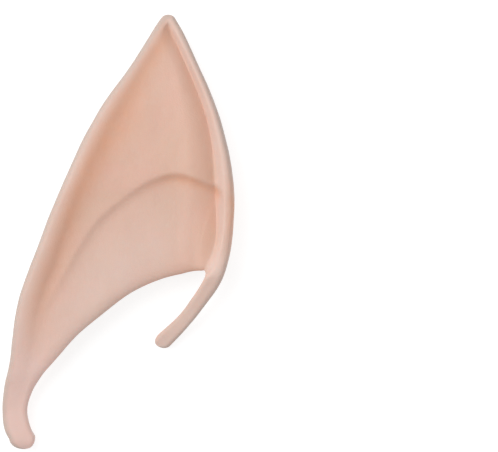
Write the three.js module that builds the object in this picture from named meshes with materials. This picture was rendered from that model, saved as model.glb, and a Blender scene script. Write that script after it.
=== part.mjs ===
// Pointed ear tip: one slush-moulded latex shell that slips over the top of a real ear.
// It lies on its back, with +Y towards the tip, +X towards the wearer's face and +Z out of the ear's face.
// A section runs in plan from the rim, which is the outer outline, to the mouth, which is the inner one.
// The sections follow each other from the rear tail, up the back rim, round the tip and down the front
// rim to the front strap. Each is a C whose hollow is the pocket for the wearer's ear. Lengths are in mm.
import * as THREE from "three";

const { lerp, clamp, smoothstep } = THREE.MathUtils;

// Driving dimensions
const earLength = 120; // end of the tail to the tip
const earWidth = 64; // back rim to front rim
const faceHeight = 11.4; // floor to the flat of the ear's face
const rimRise = 2.5; // crest of the rim above the face
const grooveDepth = 1.8; // groove inside the front rim, below the face
const creaseDepth = 1.4; // the face steps down this far at the curved fold across it
const wall = 1.4; // latex
const rimSolid = 2.6; // outline to the end of the pocket, where the rim is solid
const backSetBack = 9; // the back wall's edge stops this far short of the face's edge

// Reaches across the face, measured from the outline
const crestReach = 2.8; // to the crest of the rim
const grooveReach = 5.8; // to the floor of the groove in front, and to the steepest of the slope behind
const panelReach = 14; // to where the face is flat
const flankReach = 7; // to where the rounded back is flat
const lipDrop = 1.3; // the face turns down this far at the mouth
const lipReach = 3.5; // within this distance of the mouth
const flankLip = 0.8; // rounding of the strap and tail at the mouth side, over and under
const edgeReach = 1.4; // width of that rounding
const creaseAbove = 1.3; // reach of the fold's upper side, where it grows steep
const creaseBelow = 3.2; // reach of its lower side, where it eases out
const tipLift = 1.6; // the underside of the tip is this high above the floor
const tailCap = 3.3; // length of the round end of the tail
const strapCap = 2.5; // length of the round end of the strap

// Fineness of the loft
const sectionStep = 3.1;
const sectionTurn = THREE.MathUtils.degToRad(17); // the outline turns at most this much between sections
const capSteps = 4;
const rimStep = 0.05; // to each side, for the outline's direction
const foldNear = 0.1; // a line that comes this near to the fold crosses it
const lineSteps = 64; // pieces of a section's plan line

// Plan of each section: shares of the ear's width and length, from the tail end at the bottom left.
const outline = [
  { name: "tail end", rim: [0.031, 0.0235], mouth: [0.138, 0.031] },
  { name: "tail pad", rim: [0.012, 0.044], mouth: [0.1215, 0.047] },
  { name: "tail neck", rim: [0.0, 0.086], mouth: [0.105, 0.0885] },
  { name: "tail curve", rim: [0.008, 0.138], mouth: [0.126, 0.133] },
  { name: "tail root", rim: [0.031, 0.192], mouth: [0.173, 0.173] },
  { name: "lower back", rim: [0.046, 0.254], mouth: [0.238, 0.212] },
  { name: "back", rim: [0.07, 0.339], mouth: [0.322, 0.262] },
  { name: "middle back", rim: [0.149, 0.457], mouth: [0.435, 0.313] },
  { name: "upper back", rim: [0.262, 0.609], mouth: [0.543, 0.356] },
  { name: "high back", rim: [0.415, 0.776], mouth: [0.625, 0.379] },
  { name: "below tip, back", rim: [0.567, 0.893], mouth: [0.677, 0.39] },
  { name: "tip, back", rim: [0.682, 0.9895], mouth: [0.711, 0.396] },
  { name: "tip cap, back", rim: [0.6965, 0.9975], mouth: [0.7198, 0.3972] },
  { name: "tip", rim: [0.7155, 1.0], mouth: [0.7285, 0.3985] },
  { name: "tip cap, front", rim: [0.7345, 0.997], mouth: [0.7372, 0.3998] },
  { name: "tip, front", rim: [0.748, 0.9875], mouth: [0.746, 0.401] },
  { name: "below tip, front", rim: [0.839, 0.891], mouth: [0.772, 0.404] },
  { name: "high front", rim: [0.928, 0.777], mouth: [0.804, 0.4085] },
  { name: "upper front", rim: [0.982, 0.665], mouth: [0.832, 0.411] },
  { name: "middle front", rim: [0.9995, 0.5665], mouth: [0.856, 0.4115] },
  { name: "front", rim: [0.984, 0.461], mouth: [0.874, 0.41] },
  { name: "strap root", rim: [0.947, 0.393], mouth: [0.871, 0.395] },
  { name: "strap", rim: [0.872, 0.3315], mouth: [0.8215, 0.3515] },
  { name: "strap bend", rim: [0.7925, 0.278], mouth: [0.756, 0.3065] },
  { name: "strap end", rim: [0.7225, 0.2385], mouth: [0.673, 0.265] },
];
const tipSection = outline.findIndex((row) => row.name === "tip");

// Relief of the sections. section counts the rows above. face, mouth and back are shares of faceHeight: the
// face at the rim, the face at the mouth and the underside. rise and dip are shares of rimRise and
// grooveDepth. crest, groove and panel are shares of their reaches. pocket is 1 where the pocket reaches
// the rim and 0 where the section is solid. open is a share of backSetBack, and lip goes from 0, a thin lip,
// to 1, a rounded edge over and under.
const reliefColumns = [
  "section", "face", "mouth", "back", "rise", "dip", "crest", "groove", "panel", "pocket", "open", "lip",
];
const rimColumns = ["rise", "dip", "crest", "groove", "panel"];
const relief = [
  [0, 0.46, 0.46, 0.0, 0.0, 0.0, 0.6, 0.6, 0.4, 0.0, 0.0, 1.0],
  [2, 0.5, 0.5, 0.05, 0.02, 0.0, 0.6, 0.6, 0.4, 0.0, 0.0, 1.0],
  [3, 0.6, 0.58, 0.08, 0.05, 0.0, 0.6, 0.7, 0.5, 0.0, 0.0, 0.9],
  [4, 0.74, 0.72, 0.06, 0.12, 0.0, 0.62, 0.8, 0.6, 0.35, 0.0, 0.5],
  [5, 0.86, 0.82, 0.03, 0.26, 0.0, 0.66, 0.9, 0.68, 0.9, 0.1, 0.1],
  [6, 0.94, 0.88, 0.0, 0.48, 0.0, 0.72, 0.95, 0.68, 1.0, 0.6, 0.0],
  [7, 0.98, 0.9, 0.0, 0.68, 0.0, 0.78, 0.94, 0.68, 1.0, 1.0, 0.0],
  [8, 1.0, 0.9, 0.0, 0.76, 0.0, 0.78, 0.84, 0.92, 1.0, 1.0, 0.0],
  [9, 1.0, 0.9, 0.0, 0.66, 0.0, 0.7, 0.8, 0.88, 1.0, 1.0, 0.0],
  [10, 1.0, 0.9, 0.0, 0.32, 0.05, 0.52, 0.6, 0.62, 1.0, 1.0, 0.0],
  [11, 1.0, 0.9, 0.0, 0.1, 0.0, 0.44, 0.55, 0.5, 1.0, 1.0, 0.0],
  [13, 1.0, 0.9, 0.0, 0.04, 0.05, 0.42, 0.5, 0.45, 1.0, 1.0, 0.0],
  [15, 1.0, 0.9, 0.0, 0.08, 0.3, 0.44, 0.5, 0.45, 1.0, 1.0, 0.0],
  [16, 1.0, 0.9, 0.0, 0.14, 0.95, 0.48, 0.54, 0.5, 1.0, 1.0, 0.0],
  [17, 1.0, 0.91, 0.0, 0.16, 1.25, 0.54, 0.62, 0.68, 1.0, 0.9, 0.0],
  [18, 1.0, 0.92, 0.0, 0.16, 1.3, 0.68, 0.8, 0.86, 1.0, 0.65, 0.0],
  [18.5, 1.0, 0.935, 0.0, 0.16, 1.3, 0.76, 0.87, 0.92, 1.0, 0.5, 0.0],
  [19, 1.0, 0.95, 0.0, 0.18, 1.15, 0.86, 0.88, 0.94, 1.0, 0.35, 0.0],
  [20, 0.99, 0.98, 0.12, 0.2, 0.8, 0.86, 0.78, 0.9, 0.5, 0.1, 0.2],
  [21, 1.06, 1.06, 0.62, 0.1, 0.0, 1.0, 1.0, 1.0, 0.0, 0.0, 0.9],
  [22, 0.8, 0.8, 0.48, 0.0, 0.0, 0.7, 1.0, 1.0, 0.0, 0.0, 1.0],
  [23, 0.49, 0.49, 0.17, 0.0, 0.0, 0.6, 1.0, 1.0, 0.0, 0.0, 1.0],
  [24, 0.32, 0.32, 0.0, 0.0, 0.0, 0.6, 1.0, 1.0, 0.0, 0.0, 1.0],
];

// Fold across the face, from the tail to the front rim: place as shares of the ear's width and length, and
// depth as a share of creaseDepth.
const creaseLine = [
  { at: [0.07, -0.02], depth: 0 },
  { at: [0.055, 0.1], depth: 0 },
  { at: [0.12, 0.22], depth: 0 },
  { at: [0.205, 0.335], depth: 0.12 },
  { at: [0.272, 0.397], depth: 0.27 },
  { at: [0.333, 0.456], depth: 0.38 },
  { at: [0.418, 0.523], depth: 0.46 },
  { at: [0.53, 0.575], depth: 0.52 },
  { at: [0.64, 0.614], depth: 0.75 },
  { at: [0.746, 0.63], depth: 1.1 },
  { at: [0.835, 0.619], depth: 1.35 },
  { at: [0.896, 0.606], depth: 1.4 },
  { at: [0.95, 0.594], depth: 1.4 },
  { at: [1.05, 0.575], depth: 1.4 },
];

// Ratios of the form
const equatorShare = 0.72; // the outline lies at this share of the height from back to crest
const rimPower = 3; // power of the rim's rounding, where 2 is an ellipse
const halfSection = 0.46; // a rounding takes at most this share of a narrow section
const levelEase = 2.4; // how soon the face leaves the rim's level for the mouth's
const tipFallFrom = 0.6; // the face falls towards the tip from this share of the ear's length
const tipFallPower = 1.5; // and steepens on the way
const tipFall = 0.5; // share of the face's height that it loses at the tip
const boxiness = 5; // power of the pocket's rounded end, where 2 is an ellipse
const blendPower = 4; // how sharply the two rims' distances blend at the tip
const rimLean = 0.38; // a section leaves the rim square to it for this share of its length
const tipLean = 0.35; // and for at most this share of its distance from the tip
const mouthLean = 0.2; // it meets the mouth square to it for this share of its length
const mouthSpan = 9; // the mouth's direction is taken over this much of the rim, to each side
const leastReach = 1.2; // the groove and the flat of the face lie at least this many times further in
const slimmest = 0.25; // least half height of the pocket, beside solid latex

// Smooth curve through a table's rows: at(position) gives all the columns.
function tableCurve(positions, rows) {
  const curve = new THREE.CubicInterpolant(positions, rows.flat(), rows[0].length);
  return (position) => Array.from(curve.evaluate(position));
}

function distance(a, b) {
  return Math.hypot(a[0] - b[0], a[1] - b[1]);
}

// Height of a quarter ellipse, from 0 at the start to 1 at its reach. A power over 2 makes it squarer.
function quarterRound(at, reach, power = 2) {
  const left = 1 - clamp(at / reach, 0, 1);
  return (1 - left ** power) ** (1 / power);
}

// Step from 0 to 1 that is steepest at its knee: it grows steep before it and eases out after it.
function kneeStep(at, start, knee, end) {
  const [steep, gentle] = [knee - start, end - knee];
  const left = 1 - clamp((at - knee) / gentle, 0, 1);
  const before = (steep / 2) * clamp((at - start) / steep, 0, 1) ** 2;
  return (before + (gentle / 3) * (1 - left ** 3)) / (steep / 2 + gentle / 3);
}

const planRows = outline.map(({ rim, mouth }) => [
  rim[0] * earWidth, rim[1] * earLength, mouth[0] * earWidth, mouth[1] * earLength,
]);
const sectionNumbers = planRows.map((row, number) => number);
const rimPositions = [0];
for (let number = 1; number < planRows.length; number++) {
  rimPositions.push(rimPositions[number - 1] + distance(planRows[number], planRows[number - 1]));
}
const planAt = tableCurve(rimPositions, planRows);
const reliefAt = tableCurve(relief.map((row) => row[0]), relief.map((row) => row.slice(1)));
const numberAt = tableCurve(rimPositions, sectionNumbers.map((number) => [number]));

// Named relief values of a section, from its place along the rim.
function sectionRelief(position) {
  const values = reliefAt(numberAt(position)[0]);
  const named = Object.fromEntries(reliefColumns.slice(1).map((name, column) => [name, values[column]]));
  for (const name of ["back", "rise", "dip", "open"]) named[name] = Math.max(0, named[name]);
  for (const name of ["pocket", "lip"]) named[name] = clamp(named[name], 0, 1);
  return named;
}

// The plan line of a section: square to the rim at one end and to the mouth at the other.
function sectionLine(position) {
  const last = rimPositions.at(-1);
  const around = (reach) => [position - reach, position + reach].map((at) => planAt(clamp(at, 0, last)));
  const here = planAt(position);
  const [before, after] = around(rimStep);
  const [wideBefore, wideAfter] = around(mouthSpan);
  const rim = new THREE.Vector2(here[0], here[1]);
  const mouth = new THREE.Vector2(here[2], here[3]);
  const alongRim = new THREE.Vector2(after[0] - before[0], after[1] - before[1]).normalize();
  const alongMouth = new THREE.Vector2(wideAfter[2] - wideBefore[2], wideAfter[3] - wideBefore[3]);
  alongMouth.normalize();
  const length = rim.distanceTo(mouth);
  const tip = new THREE.Vector2(planRows[tipSection][0], planRows[tipSection][1]);
  const lean = Math.min(rimLean * length, tipLean * rim.distanceTo(tip));
  const fromRim = new THREE.Vector2(alongRim.y, -alongRim.x).multiplyScalar(lean).add(rim);
  const intoFace = new THREE.Vector2(-alongMouth.y, alongMouth.x);
  const fromMouth = intoFace.multiplyScalar(mouthLean * length).add(mouth);
  return new THREE.CubicBezierCurve(rim, fromRim, fromMouth, mouth);
}

// Direction of the outline at a place along it.
function rimHeading(position) {
  const last = rimPositions.at(-1);
  const [from, to] = [position - rimStep, position + rimStep].map((at) => planAt(clamp(at, 0, last)));
  return Math.atan2(to[1] - from[1], to[0] - from[0]);
}

// Sections along the rim: at each of the table's rows, and closer together where the outline turns.
const positions = [0];
for (let number = 1; number < rimPositions.length; number++) {
  const from = rimPositions[number - 1];
  const to = rimPositions[number];
  const turn = Math.abs(rimHeading(to) - rimHeading(from));
  const turnSteps = Math.ceil(Math.min(turn, 2 * Math.PI - turn) / sectionTurn);
  const steps = Math.max(2, turnSteps, Math.round((to - from) / sectionStep));
  for (let step = 1; step <= steps; step++) positions.push(lerp(from, to, step / steps));
}
const tipPlace = positions.findIndex((position) => position >= rimPositions[tipSection] - 1e-6);

// Curve of the fold, with its depth
const creasePoints = creaseLine.map(({ at }) => new THREE.Vector2(at[0] * earWidth, at[1] * earLength));
const creasePositions = [0];
for (let row = 1; row < creasePoints.length; row++) {
  creasePositions.push(creasePositions[row - 1] + creasePoints[row].distanceTo(creasePoints[row - 1]));
}
const creaseAt = tableCurve(
  creasePositions,
  creaseLine.map(({ depth }, row) => [creasePoints[row].x, creasePoints[row].y, depth]),
);
const creaseSteps = 160;
const crease = Array.from({ length: creaseSteps + 1 }, (unused, step) => {
  const [x, y, depth] = creaseAt((step / creaseSteps) * creasePositions.at(-1));
  return { point: new THREE.Vector2(x, y), depth: Math.max(0, depth) };
});
const foldPoints = crease.map(({ point }) => point);

// Share of the way along a line where it crosses the fold, under 0 where the line begins past it.
function foldShare(line) {
  const toFold = (point) => nearest(foldPoints, 0, foldPoints.length - 1, point).away;
  const points = line.getSpacedPoints(lineSteps);
  let best = { away: Infinity, share: 0.5 };
  points.forEach((point, step) => {
    const away = toFold(point);
    if (away < best.away) best = { away, share: step / lineSteps };
  });
  let reach = 1 / lineSteps;
  for (let halving = 0; halving < 6; halving++) {
    reach /= 2;
    for (const share of [best.share - reach, best.share + reach]) {
      const away = toFold(line.getPointAt(clamp(share, 0, 1)));
      if (away < best.away) best = { away, share: clamp(share, 0, 1) };
    }
  }
  return best.away < foldNear ? best.share : -toFold(line.getPoint(0)) / line.getLength();
}

const sections = positions.map((position) => {
  const line = sectionLine(position);
  const foldAt = foldShare(line);
  const { index } = nearest(foldPoints, 0, foldPoints.length - 1, line.getPointAt(Math.max(0, foldAt)));
  const [low, high] = [crease[Math.floor(index)], crease[Math.ceil(index)]];
  const foldDepth = lerp(low.depth, high.depth, index % 1);
  return { line, length: line.getLength(), relief: sectionRelief(position), foldAt, foldDepth };
});
const rimPoints = sections.map(({ line }) => line.getPoint(0));
sections.forEach((section, place) => {
  const [first, last] = place < tipPlace ? [0, tipPlace] : [tipPlace, sections.length - 1];
  const points = section.line.getSpacedPoints(lineSteps);
  section.inward = points.map((point) => nearest(rimPoints, first, last, point).away);
});

// Distance along a section at which it is this far in from its own rim.
function alongAt(section, reach) {
  const place = section.inward.findIndex((away) => away >= reach);
  if (place < 1) return place < 0 ? section.length : 0;
  const [low, high] = [section.inward[place - 1], section.inward[place]];
  return ((place - 1 + (reach - low) / (high - low)) / lineSteps) * section.length;
}

// Nearest place on a run of points: how far it is and its fractional index.
function nearest(points, first, last, point) {
  let best = { away: Infinity, index: first };
  for (let index = first; index < last; index++) {
    const [a, b] = [points[index], points[index + 1]];
    const side = b.clone().sub(a);
    const share = clamp(point.clone().sub(a).dot(side) / side.lengthSq(), 0, 1);
    const away = a.clone().addScaledVector(side, share).distanceTo(point);
    if (away < best.away) best = { away, index: index + share };
  }
  return best;
}

// Relief between two neighbouring sections.
function reliefBetween(index, name) {
  const low = Math.min(Math.floor(index), sections.length - 2);
  return lerp(sections[low].relief[name], sections[low + 1].relief[name], index - low);
}

// Distances to the back rim and the front rim with the relief there, and both blended where they are close.
function rimsAt(point) {
  const back = nearest(rimPoints, 0, tipPlace, point);
  const front = nearest(rimPoints, tipPlace, sections.length - 1, point);
  const near = Math.max(1e-9, Math.min(back.away, front.away));
  const weights = [back, front].map(({ away }) => (near / Math.max(away, near)) ** blendPower);
  const total = weights[0] + weights[1];
  for (const rim of [back, front]) {
    for (const name of rimColumns) rim[name] = reliefBetween(rim.index, name);
  }
  const shared = (name) => (weights[0] * back[name] + weights[1] * front[name]) / total;
  const away = near * total ** (-1 / blendPower);
  return { away, crest: shared("crest"), rise: shared("rise"), each: [back, front] };
}

// Levels of the face and the underside at a share of the way along a section. Both close in on each other
// towards the tip.
function levels(section, across, y) {
  const { face, mouth, back, lip } = section.relief;
  const ease = 1 - (1 - across) ** levelEase;
  const towardsTip = clamp((y / earLength - tipFallFrom) / (1 - tipFallFrom), 0, 1) ** tipFallPower;
  const top = lerp(face, mouth, ease) * faceHeight * (1 - tipFall * towardsTip);
  const under = back * faceHeight * (1 - ease * (1 - lip)) + tipLift * towardsTip;
  return { top, under };
}

// Height of the outline itself, where the face and the back meet.
function equator(section, rise, y) {
  const { top, under } = levels(section, 0, y);
  return lerp(under, top + rise * rimRise, equatorShare);
}

function crestWidth(section, crest) {
  return Math.min(crest * crestReach, halfSection * section.length);
}

// What one of the two rims does to the face: it raises it to the rim and sinks it to the groove inside it.
// inside goes from 0 at the crest to 1 at the groove.
function rimForm(section, { away, rise, dip, crest, groove, panel }) {
  const start = crestWidth(section, crest);
  const knee = Math.max(groove * grooveReach, start * leastReach);
  const end = Math.max(panel * panelReach, knee * leastReach);
  const inside = smoothstep(away, start, knee);
  const left = 1 - clamp((away - knee) / (end - knee), 0, 1);
  const raised = rise * rimRise * (1 - kneeStep(away, start, knee, end));
  return { raised, sunk: dip * grooveDepth * inside * left ** 2, inside };
}

// Fold across the face: it steps down, steepest at the fold's line, and comes back slowly towards the mouth.
function foldHeight(section, point, across) {
  const { away } = nearest(foldPoints, 0, foldPoints.length - 1, point);
  const past = across > section.foldAt ? away : -away;
  const fade = 1 - smoothstep(across, section.foldAt, 1);
  return -section.foldDepth * creaseDepth * kneeStep(past, -creaseAbove, 0, creaseBelow) * fade;
}

// Height of the ear's face at a distance along a section.
function faceAt(section, along) {
  const across = clamp(along / section.length, 0, 1);
  const point = section.line.getPointAt(across);
  const rims = rimsAt(point);
  const { top } = levels(section, across, point.y);
  const [back, front] = rims.each.map((rim) => rimForm(section, rim));
  const fold = foldHeight(section, point, across) * front.inside;
  const sunk = back.sunk * front.inside + front.sunk * back.inside;
  const inner = top + back.raised + front.raised - sunk + fold;
  const rounding = quarterRound(rims.away, crestWidth(section, rims.crest), rimPower);
  const height = lerp(equator(section, rims.rise, point.y), inner, rounding);
  const lipDepth = lerp(lipDrop, flankLip, section.relief.lip);
  const lip = lipDepth * (1 - quarterRound(section.length - along, lipWidth(section)));
  return height - lip;
}

// Width of the rounding at the mouth side.
function lipWidth(section) {
  return Math.min(lerp(lipReach, edgeReach, section.relief.lip), halfSection * section.length);
}

// Height of the rounded back at a distance along a section.
function backAt(section, along) {
  const across = clamp(along / section.length, 0, 1);
  const point = section.line.getPointAt(across);
  const { away, rise } = rimsAt(point);
  const { under } = levels(section, across, point.y);
  const flank = Math.min(flankReach, 2 * halfSection * section.length);
  const tuck = section.relief.lip * flankLip * (1 - quarterRound(section.length - along, lipWidth(section)));
  return lerp(equator(section, rise, point.y), under, quarterRound(away, flank)) + tuck;
}

// Surfaces of the pocket, a wall away from the outer ones: a ball of that radius rolls along the section.
const rollAngles = [-70, -45, -20, 0, 20, 45, 70].map(THREE.MathUtils.degToRad);
function pocketTop(section, along) {
  return Math.min(...rollAngles.map((a) => faceAt(section, along + wall * Math.sin(a)) - wall * Math.cos(a)));
}
function pocketFloor(section, along) {
  return Math.max(...rollAngles.map((a) => backAt(section, along + wall * Math.sin(a)) + wall * Math.cos(a)));
}

// Where along the section the solid rim ends and the pocket begins.
function pocketStart(section) {
  const step = 0.2;
  const near = (along) => rimsAt(section.line.getPointAt(along / section.length)).away < rimSolid;
  let along = 0;
  while (along < section.length && near(along)) along += step;
  return Math.min(along, section.length);
}

// Distances along the face, from the rim to the mouth: close at the crest, the groove and the fold.
function faceStations(section) {
  const { crest, groove, panel } = section.relief;
  const { length } = section;
  const rounding = [0.03, 0.15, 0.45, 1].map((share) => alongAt(section, share * crestWidth(section, crest)));
  const crestAt = rounding.at(-1);
  const kneeAt = alongAt(section, groove * grooveReach);
  const leastFold = lerp(crestAt, length, 0.15);
  const fold = Math.max(section.foldAt * length, Math.min(kneeAt, 0.5 * length), leastFold);
  const grooveAt = Math.min(kneeAt, lerp(crestAt, fold, 0.4));
  const panelAt = Math.min(alongAt(section, panel * panelReach), lerp(grooveAt, fold, 0.6));
  const lip = Math.min(lipWidth(section), (length - fold) * 0.4);
  const edge = length - lip;
  const above = Math.max(fold - creaseAbove, lerp(panelAt, fold, 0.5));
  const below = Math.min(fold + creaseBelow, lerp(fold, edge, 0.6));
  return [
    0, ...rounding, lerp(crestAt, grooveAt, 0.5), grooveAt,
    lerp(grooveAt, panelAt, 0.25), lerp(grooveAt, panelAt, 0.6), panelAt,
    lerp(panelAt, above, 0.25), lerp(panelAt, above, 0.5), lerp(panelAt, above, 0.75), above,
    fold, lerp(fold, below, 0.35), below, lerp(below, edge, 0.5),
    edge, length - 0.3 * lip, length - 0.05 * lip, length,
  ];
}

const backShares = [0.05, 0.2, 0.45, 1]; // of the rounded flank, then of what is left
const backRest = [0.33, 0.67];

// Places round the open pocket as [distance, height share from its floor to its top], from the back's edge
// to the face's edge: floor, rounded end beside the rim, and top, which follows the fold.
const pocketFloorShares = [0, 0.35, 0.75];
const pocketEndAngles = [-50, 0, 50].map(THREE.MathUtils.degToRad);
const pocketEndReach = 3;
function pocketPlaces(section, backEdge) {
  const { length } = section;
  const start = Math.min(pocketStart(section), 0.6 * backEdge);
  const end = start + Math.min(pocketEndReach, 0.3 * (backEdge - start));
  const lip = Math.min(lipReach, 0.2 * (length - end));
  const above = 2 * creaseAbove;
  const fold = clamp(section.foldAt * length, lerp(end, length - lip, 0.15), lerp(end, length - lip, 0.85));
  const before = Math.max(fold - above, lerp(end, fold, 0.5));
  const after = Math.min(fold + creaseBelow, lerp(fold, length - lip, 0.5));
  const floor = pocketFloorShares.map((share) => [lerp(backEdge, end, share), 0]);
  const round = pocketEndAngles.map((angle) => {
    const height = Math.sign(Math.sin(angle)) * Math.abs(Math.sin(angle)) ** (2 / boxiness);
    return [end - (end - start) * Math.cos(angle) ** (2 / boxiness), (1 + height) / 2];
  });
  const top = [
    end, lerp(end, before, 0.5), before, fold, after,
    lerp(after, length - lip, 0.35), lerp(after, length - lip, 0.7), length - lip, length,
  ].map((along) => [along, 1]);
  return [...floor, ...round, ...top];
}

// Closed loop of a section as [distance along it, height]: the face from mouth to rim, the back from rim to
// its edge, and the pocket from there to the face's edge.
function sectionLoop(section) {
  const { length } = section;
  const { pocket, open } = section.relief;
  const flank = Math.min(flankReach, 2 * halfSection * length);
  const backEdge = length - Math.min(open * backSetBack, 0.45 * length);
  const flankEnd = Math.min(flank, 0.6 * backEdge);
  const face = faceStations(section).reverse().map((along) => [along, faceAt(section, along)]);
  const backAlong = [
    ...backShares.map((share) => share * flankEnd),
    ...backRest.map((share) => lerp(flankEnd, backEdge, share)),
    backEdge,
  ];
  const back = backAlong.map((along) => [along, backAt(section, along)]);
  const places = pocketPlaces(section, backEdge);
  const [edgeUnder, edgeTop] = [backAt(section, backEdge), faceAt(section, length)];
  const hollow = places.map(([open, share], place) => {
    const turn = (place + 1) / (places.length + 1);
    const mouth = lerp(backEdge, length, turn);
    const along = lerp(mouth, open, pocket);
    const middle = (faceAt(section, along) + backAt(section, Math.min(along, backEdge))) / 2;
    const top = Math.max(pocketTop(section, along), middle + slimmest);
    const floor = Math.min(pocketFloor(section, along), middle - slimmest);
    return [along, lerp(lerp(edgeUnder, edgeTop, turn), lerp(floor, top, share), pocket)];
  });
  return [...face, ...back, ...hollow];
}

function sectionPoints(section) {
  return sectionLoop(section).map(([along, height]) => {
    const plan = section.line.getPointAt(clamp(along / section.length, 0, 1));
    return new THREE.Vector3(plan.x, plan.y, height);
  });
}

// Rings that round off an end section, and the point that closes them.
function endCap(ring, section, capLength, outward) {
  const centre = ring.reduce((sum, point) => sum.add(point), new THREE.Vector3()).divideScalar(ring.length);
  const acrossPlan = section.line.getPoint(1).sub(section.line.getPoint(0)).normalize();
  const axis = new THREE.Vector3(-acrossPlan.y, acrossPlan.x, 0).multiplyScalar(outward * capLength);
  const rings = [];
  for (let step = 1; step < capSteps; step++) {
    const angle = (step / capSteps) * (Math.PI / 2);
    const [shrink, out] = [1 - Math.cos(angle), Math.sin(angle)];
    rings.push(ring.map((point) => point.clone().lerp(centre, shrink).addScaledVector(axis, out)));
  }
  return { rings, pole: centre.clone().add(axis) };
}

// Closed surface through rings of equally many points, with a pole at each end.
function loft(rings, firstPole, lastPole) {
  const size = rings[0].length;
  const points = [...rings.flat(), firstPole, lastPole];
  const faces = [];
  for (let ring = 0; ring < rings.length - 1; ring++) {
    for (let place = 0; place < size; place++) {
      const [a, b] = [ring * size + place, ring * size + ((place + 1) % size)];
      faces.push(a, a + size, b, b, a + size, b + size);
    }
  }
  const lastRing = (rings.length - 1) * size;
  for (let place = 0; place < size; place++) {
    const next = (place + 1) % size;
    faces.push(points.length - 2, place, next);
    faces.push(points.length - 1, lastRing + next, lastRing + place);
  }
  const geometry = new THREE.BufferGeometry().setFromPoints(points);
  geometry.setIndex(faces);
  geometry.computeVertexNormals();
  return geometry;
}

function earShell() {
  const rings = sections.map(sectionPoints);
  const tail = endCap(rings[0], sections[0], tailCap, -1);
  const strap = endCap(rings.at(-1), sections.at(-1), strapCap, 1);
  const geometry = loft([...tail.rings.reverse(), ...rings, ...strap.rings], tail.pole, strap.pole);
  const latex = new THREE.MeshStandardMaterial({ color: 0xdfb9a6, roughness: 0.62, metalness: 0 });
  const mesh = new THREE.Mesh(geometry, latex);
  mesh.name = "ear_shell";
  return mesh;
}

// The origin is under the middle of the ear's box, on the surface it lies on.
const ear = new THREE.Group();
const shell = earShell();
const box = new THREE.Box3().setFromObject(shell);
const middle = box.getCenter(new THREE.Vector3());
shell.position.set(-middle.x, -middle.y, -box.min.z);
ear.add(shell);

export default ear;
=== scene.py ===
# Pointed latex ear tip, lying face up on a pale table and seen from straight above.
# Shapes are worked out in mm and turned into metres when a mesh is made.
import bpy
import math
import numpy as np
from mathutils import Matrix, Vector, noise


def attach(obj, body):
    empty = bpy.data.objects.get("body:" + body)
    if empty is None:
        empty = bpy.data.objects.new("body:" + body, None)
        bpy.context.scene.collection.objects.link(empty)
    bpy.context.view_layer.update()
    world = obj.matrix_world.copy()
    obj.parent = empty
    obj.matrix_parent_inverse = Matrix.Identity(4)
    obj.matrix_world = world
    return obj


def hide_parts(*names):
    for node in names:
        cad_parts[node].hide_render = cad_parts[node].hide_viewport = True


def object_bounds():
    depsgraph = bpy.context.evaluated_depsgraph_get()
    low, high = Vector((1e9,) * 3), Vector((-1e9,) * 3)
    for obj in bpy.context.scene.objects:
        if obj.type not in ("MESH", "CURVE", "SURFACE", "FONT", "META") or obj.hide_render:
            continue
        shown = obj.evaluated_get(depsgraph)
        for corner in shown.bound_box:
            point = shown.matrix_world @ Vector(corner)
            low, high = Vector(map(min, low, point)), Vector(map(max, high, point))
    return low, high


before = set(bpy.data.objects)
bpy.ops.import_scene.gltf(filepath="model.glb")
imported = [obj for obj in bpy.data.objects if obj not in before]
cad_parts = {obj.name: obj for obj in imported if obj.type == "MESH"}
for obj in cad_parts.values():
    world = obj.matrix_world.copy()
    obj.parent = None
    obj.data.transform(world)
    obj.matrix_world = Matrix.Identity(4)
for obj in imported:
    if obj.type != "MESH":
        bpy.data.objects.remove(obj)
cadLow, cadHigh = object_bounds()
print("frame loaded")

mm = 0.001

# The shell. Reaches are measured from the outline, in towards the middle of the face.
shell = {
    "node": "ear_shell",
    "body": "root",
    "slot": "latex",
    "length": 120,
    "width": 64,
    "faceHeight": 11.4,
    "rimRise": 2.5,
    "grooveDepth": 1.8,
    "creaseDepth": 1.4,
    "wall": 1.4,
    "rimSolid": 2.6,
    "backSetBack": 9,
    "crestReach": 2.8,
    "grooveReach": 5.8,
    "panelReach": 14,
    "flankReach": 7,
    "lipDrop": 1.3,
    "lipReach": 3.5,
    "flankLip": 0.8,
    "edgeReach": 1.4,
    "creaseAbove": 1.3,
    "creaseBelow": 3.2,
    "tailCap": 3.3,
    "strapCap": 2.5,
    "equator": 0.72,  # height of the outline between back and crest
    "rimPower": 3,
    "halfSection": 0.46,
    "levelEase": 2.4,
    "tipFallFrom": 0.6,
    "tipFallPower": 1.5,
    "tipFall": 0.5,
    "tipLift": 1.6,
    "boxiness": 5,
    "blendPower": 4,
    "rimLean": 0.38,
    "tipLean": 0.35,
    "mouthLean": 0.2,
    "mouthSpan": 9,
    "pocketEnd": 3,
    "leastReach": 1.2,
    "slimmest": 0.25,
    "sectionStep": 0.85,  # distance between sections
    "sectionTurn": 4,  # most degrees that the outline turns between two
    "capSteps": 9,
    "sharpOver": 50,
}

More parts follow.
